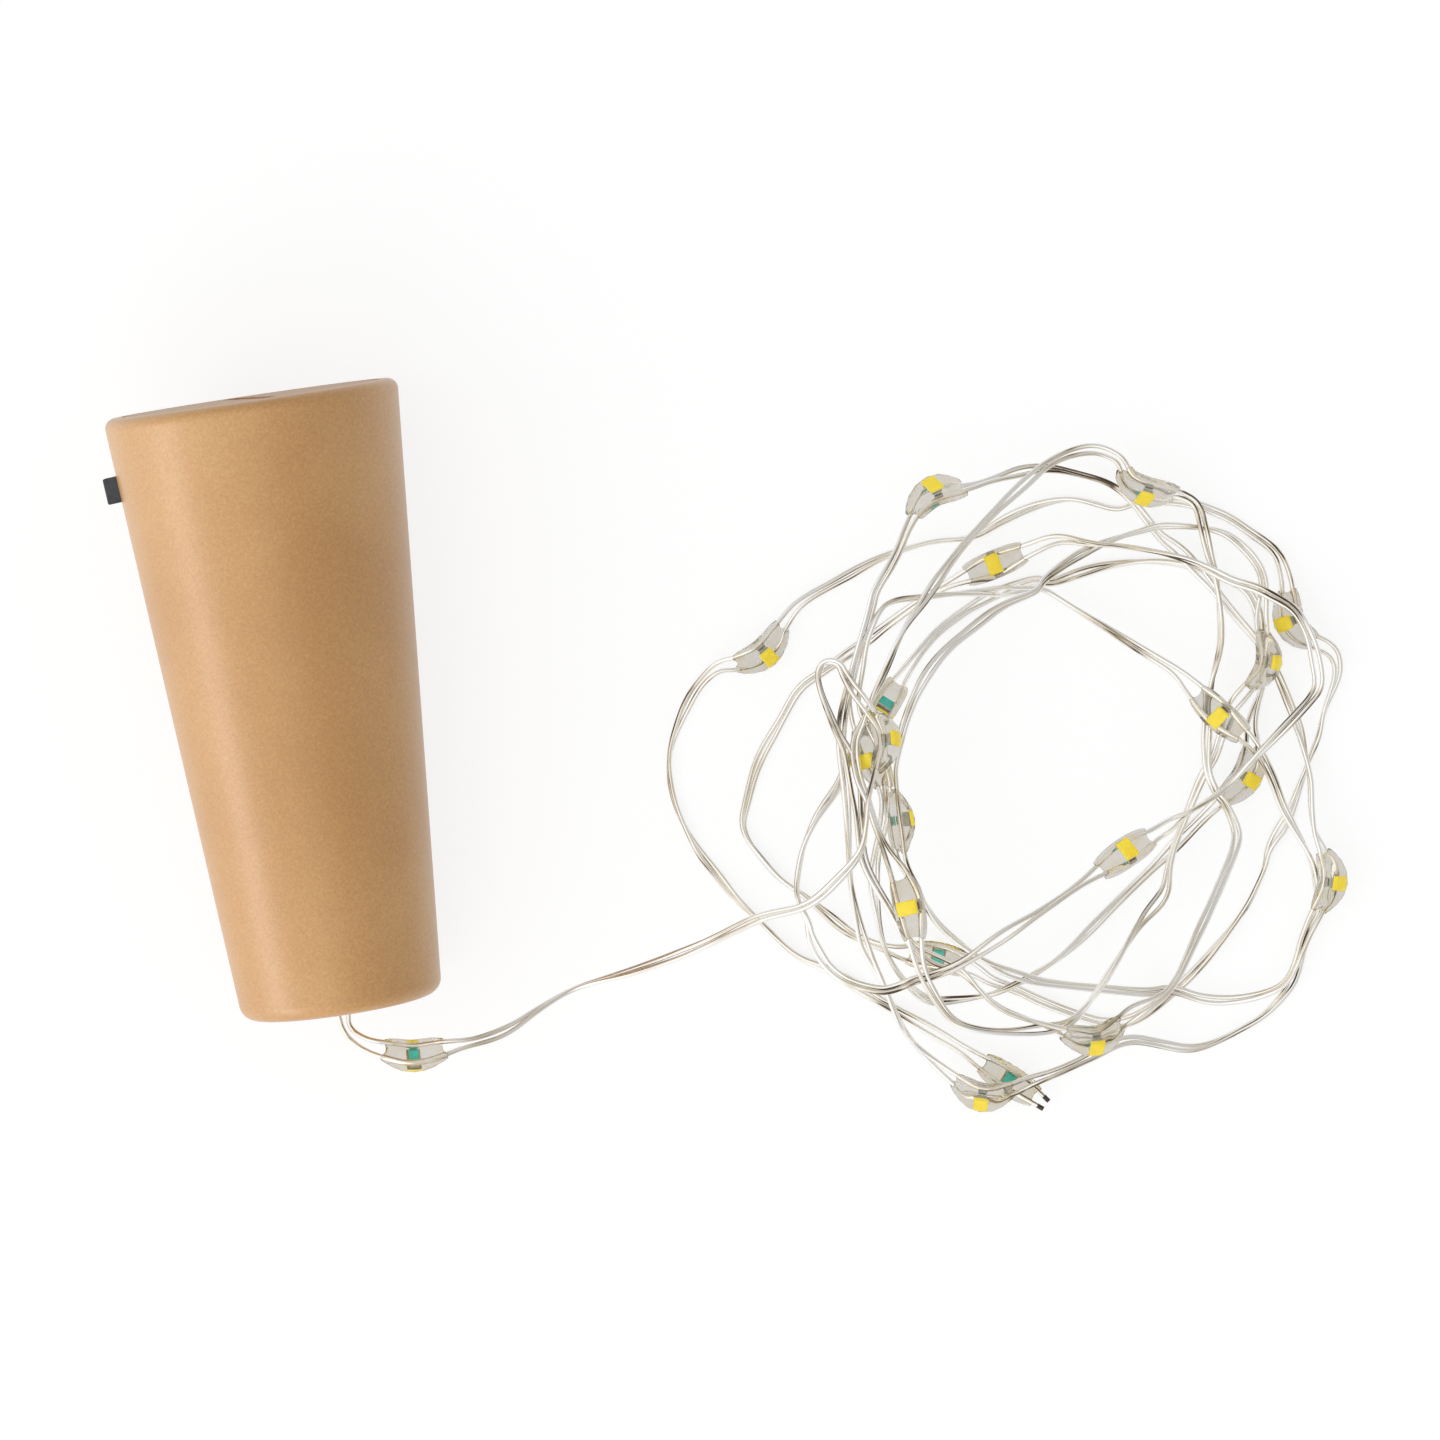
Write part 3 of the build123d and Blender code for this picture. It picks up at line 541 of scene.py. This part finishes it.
resin_finish, resin_tree, resin_shader = new_finish("milky_resin", roughness=0.10)
resin_clouds = add_grain(resin_tree, scale=700.0, detail=4.0)
resin_tree.links.new(add_shades(resin_tree, resin_clouds, resin_shades), resin_shader.inputs["Base Color"])
add_relief(resin_tree, resin_shader, resin_clouds, strength=0.08, distance=0.00006)
resin_shader.inputs["Transmission Weight"].default_value = 0.90
resin_shader.inputs["IOR"].default_value = 1.17
drop.data.materials.append(resin_finish)


def lay_on_string(mesh, light, roll):
    """Bends a mesh that was modelled along X so that it lies on the string at a light, rolled about it."""
    points = np.array([vertex.co for vertex in mesh.vertices])
    across = points[:, 1] * math.cos(roll) - points[:, 2] * math.sin(roll)
    above = points[:, 1] * math.sin(roll) + points[:, 2] * math.cos(roll)
    along = light_along[light] + points[:, 0]
    middle, left, up = (
        np.column_stack([np.interp(along, along_line, values[:, axis]) for axis in range(3)])
        for values in (line, leftward, upward)
    )
    places = middle + across[:, None] * left + above[:, None] * up
    mesh.vertices.foreach_set("co", places.ravel())
    mesh.update()


for light, roll in enumerate(light_rolls):
    light_drop = bpy.data.objects.new(f"light_drop_{light + 1:02d}", drop.data.copy())
    lay_on_string(light_drop.data, light, roll)
    bpy.context.scene.collection.objects.link(light_drop)
    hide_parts(f"led_bead_{light + 1:02d}")
    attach(light_drop, "stopper")
bpy.data.objects.remove(drop)

# The chips are small surface-mounted lights: yellow phosphor on a green board, which two beads of solder hold across
# the wires.
phosphor_size = (0.00108, 0.00154, 0.00024)
phosphor_height = 0.00092
phosphor_chamfer = 0.00008
painted_phosphor_glow = 0.30
board_border = 0.00015
board_thickness = 0.00032
solder_size = (0.00070, 0.00036, 0.00034)
solder_rounding = 0.00009
solder_height = 1.3 * wire_radius
chip_grain = 4000.0
board_slot, solder_slot = 1, 2
border_rings = 2
nearly_level = 0.9
phosphor_finish = grained_finish(
    "yellow_phosphor", from_screen(255, 230, 14), roughness=0.45, grain=chip_grain, share=0.04, depth=0.00001
)
phosphor_shader = phosphor_finish.node_tree.nodes["Principled BSDF"]
# The phosphor is given a faint painted glow, which keeps its yellow bright inside the resin where little lamp light
# reaches.
phosphor_shader.inputs["Emission Color"].default_value = from_screen(255, 232, 0)
phosphor_shader.inputs["Emission Strength"].default_value = painted_phosphor_glow
chip_board_finish = grained_finish("chip_board", from_screen(58, 255, 233), roughness=0.40, grain=chip_grain)
solder_finish = grained_finish(
    "solder", from_screen(186, 180, 168), roughness=0.32, metallic=1.0, grain=chip_grain
)


def select_chip_face(piece, side):
    """Selects the chip's level face on its upper side, 1, or lower side, -1, and goes to edit mode."""
    clear_selection("FACE")
    for face in piece.data.polygons:
        face.select = face.normal.z * side > nearly_level
    bpy.ops.object.mode_set(mode="EDIT")


def finish_selected(piece, slot):
    """Gives the selected faces the finish in one of the chip's slots."""
    piece.active_material_index = slot
    bpy.ops.object.material_slot_assign()


bpy.ops.object.select_all(action="DESELECT")
bpy.ops.mesh.primitive_cube_add(size=1)
chip = bpy.context.object
chip.name = "light_chip"
for finish in (phosphor_finish, chip_board_finish, solder_finish):
    chip.data.materials.append(finish)
bpy.ops.object.mode_set(mode="EDIT")
bpy.ops.transform.resize(value=phosphor_size, center_override=(0, 0, 0))
bpy.ops.transform.translate(value=(0, 0, phosphor_height))
select_chip_face(chip, 1)
bpy.ops.mesh.inset(thickness=phosphor_chamfer, depth=phosphor_chamfer)
select_chip_face(chip, -1)
bpy.ops.mesh.inset(thickness=board_border)
bpy.ops.mesh.extrude_region_move(TRANSFORM_OT_translate={"value": (0, 0, -board_thickness)})
for _ in range(border_rings):
    bpy.ops.mesh.select_more()
finish_selected(chip, solder_slot)
for _ in range(border_rings):
    bpy.ops.mesh.select_less()
finish_selected(chip, board_slot)
bpy.ops.mesh.select_all(action="DESELECT")
for side in (-1, 1):
    bpy.ops.mesh.primitive_cube_add(size=1)
    finish_selected(chip, solder_slot)
    bpy.ops.transform.resize(value=solder_size, center_override=(0, 0, 0))
    bpy.ops.mesh.bevel(offset=solder_rounding, segments=2, affect="EDGES")
    bpy.ops.transform.translate(value=(0, side * gap_at_light, solder_height))
    bpy.ops.mesh.select_all(action="DESELECT")
bpy.ops.object.mode_set(mode="OBJECT")


def chip_place(light, roll):
    """Turn and place of one chip: along the wires, up, and rolled about them."""
    here = int(np.argmin(np.abs(along_line - light_along[light])))
    turn = Matrix((ahead[here], leftward[here], upward[here])).transposed().to_4x4()
    return Matrix.Translation(Vector(line[here])) @ turn @ Matrix.Rotation(roll, 4, "X")


chip_copies = []
for light, roll in enumerate(light_rolls):
    chip_copy = bpy.data.objects.new("light_chip_copy", chip.data.copy())
    chip_copy.data.transform(chip_place(light, roll))
    bpy.context.scene.collection.objects.link(chip_copy)
    chip_copies.append(chip_copy)
bpy.data.objects.remove(chip)
bpy.ops.object.select_all(action="DESELECT")
for chip_copy in chip_copies:
    chip_copy.select_set(True)
bpy.context.view_layer.objects.active = chip_copies[0]
bpy.ops.object.join()
chips = bpy.context.object
chips.name = "light_chips"
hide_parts("led_chips")
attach(chips, "stopper")

# The stage: a plain white floor that keeps a faint shadow, and an even white sky that gloss sees as brighter on the
# left. A wide soft lamp lights everything from there, a narrow one adds the stopper's sheen, and the camera stands
# straight above.
floor_size = 3.0
floor_paint = (0.93, 0.93, 0.93, 1.0)
floor_white_share = 0.70
floor_reflected_share = 0.43
floor_level = 1.13
floor_far_left = (-0.120, 2.8)
floor_near_left = (-0.012, floor_level)
world_light = 0.57
bright_side = (-0.76, -0.25, 0.60)
dark_reflected = 0.26
bright_reflected = 1.08
window_place = (-0.40, -0.30, 0.46)
window_size = 0.95
window_watts = 2.65
strip_place = (-0.58, -0.28, 0.20)
strip_width = 0.60
strip_height = 0.22
strip_watts = 1.20
film_width = 36.0


def add_seen_and_reflected(tree):
    """Two outputs that are 1 for what the camera sees, straight or through resin, and for what gloss reflects."""
    path = tree.nodes.new("ShaderNodeLightPath")
    seen = add_math(tree, "MAXIMUM", path.outputs["Is Camera Ray"], path.outputs["Is Transmission Ray"])
    return seen, path.outputs["Is Glossy Ray"]


bpy.ops.mesh.primitive_plane_add(size=floor_size)
floor = bpy.context.object
floor.name = "floor"
floor_finish, floor_tree, floor_shader = new_finish("white_floor", roughness=0.9)
floor_shader.inputs["Base Color"].default_value = floor_paint
floor_seen, floor_reflected = add_seen_and_reflected(floor_tree)
floor_share = add_math(
    floor_tree,
    "MAXIMUM",
    add_math(floor_tree, "MULTIPLY", floor_seen, floor_white_share),
    add_math(floor_tree, "MULTIPLY", floor_reflected, floor_reflected_share),
)
floor_place = floor_tree.nodes.new("ShaderNodeTexCoord")
floor_sides = floor_tree.nodes.new("ShaderNodeSeparateXYZ")
floor_tree.links.new(floor_place.outputs["Object"], floor_sides.inputs["Vector"])
leftward_glow = floor_tree.nodes.new("ShaderNodeMapRange")
for (floor_x, floor_glow), end in ((floor_far_left, "Min"), (floor_near_left, "Max")):
    leftward_glow.inputs[f"From {end}"].default_value = floor_x
    leftward_glow.inputs[f"To {end}"].default_value = floor_glow
floor_tree.links.new(floor_sides.outputs["X"], leftward_glow.inputs["Value"])
reflected_glow = add_math(floor_tree, "MULTIPLY", floor_reflected, leftward_glow.outputs["Result"])
floor_strength = add_math(floor_tree, "MAXIMUM", reflected_glow, floor_level)
floor_white = floor_tree.nodes.new("ShaderNodeEmission")
floor_tree.links.new(floor_strength, floor_white.inputs["Strength"])
floor_mix = floor_tree.nodes.new("ShaderNodeMixShader")
floor_tree.links.new(floor_share, floor_mix.inputs["Fac"])
floor_tree.links.new(floor_shader.outputs["BSDF"], floor_mix.inputs[1])
floor_tree.links.new(floor_white.outputs["Emission"], floor_mix.inputs[2])
floor_tree.links.new(floor_mix.outputs["Shader"], floor_tree.nodes["Material Output"].inputs["Surface"])
floor.data.materials.append(floor_finish)

world = bpy.data.worlds.new("studio")
bpy.context.scene.world = world
world.use_nodes = True
sky_tree = world.node_tree
sky = sky_tree.nodes["Background"]
sky.inputs["Color"].default_value = (1.0, 1.0, 1.0, 1.0)
sky_seen, sky_reflected = add_seen_and_reflected(sky_tree)
sky_place = sky_tree.nodes.new("ShaderNodeTexCoord")
sky_way = sky_tree.nodes.new("ShaderNodeVectorMath")
sky_way.operation = "DOT_PRODUCT"
sky_way.inputs[1].default_value = bright_side
sky_tree.links.new(sky_place.outputs["Generated"], sky_way.inputs[0])
sky_shades = {0.10: (*[dark_reflected] * 3, 1.0), 0.60: (*[bright_reflected] * 3, 1.0)}
sky_glow = add_shades(sky_tree, sky_way.outputs["Value"], sky_shades)
reflected_sky = add_math(sky_tree, "MULTIPLY", sky_reflected, sky_glow)
shown_sky = add_math(sky_tree, "MAXIMUM", sky_seen, reflected_sky)
sky_tree.links.new(add_math(sky_tree, "MAXIMUM", shown_sky, world_light), sky.inputs["Strength"])


def add_lamp(name, place, width, height, watts):
    """A soft rectangular lamp that looks at the stopper."""
    lamp = bpy.data.lights.new(name, "AREA")
    lamp.shape = "RECTANGLE"
    lamp.size = width
    lamp.size_y = height
    lamp.energy = watts
    lamp_object = bpy.data.objects.new(name, lamp)
    bpy.context.scene.collection.objects.link(lamp_object)
    lamp_object.location = place
    lamp_object.rotation_euler = (-Vector(place)).to_track_quat("-Z", "Y").to_euler()
    return lamp_object


window = add_lamp("left_window", window_place, window_size, window_size, window_watts)
window.visible_glossy = False
strip = add_lamp("left_strip", strip_place, strip_width, strip_height, strip_watts)
strip_lights = bpy.data.collections.new("strip_lights")
strip_lights.objects.link(frame["nodes"]["cork_body"])
strip.light_linking.receiver_collection = strip_lights

camera_data = bpy.data.cameras.new("photo_camera")
camera_data.sensor_fit = "HORIZONTAL"
camera_data.sensor_width = film_width
camera_data.lens = film_width * camera_height * pixels_per_mm / photo_width
camera_data.clip_start = 0.01
camera = bpy.data.objects.new("photo_camera", camera_data)
bpy.context.scene.collection.objects.link(camera)
camera.location = (camera_over[0] / 1000, camera_over[1] / 1000, camera_height / 1000)
camera.rotation_euler = (0.0, 0.0, -photo_turn)
bpy.context.scene.camera = camera
bpy.context.scene.view_settings.view_transform = "Standard"
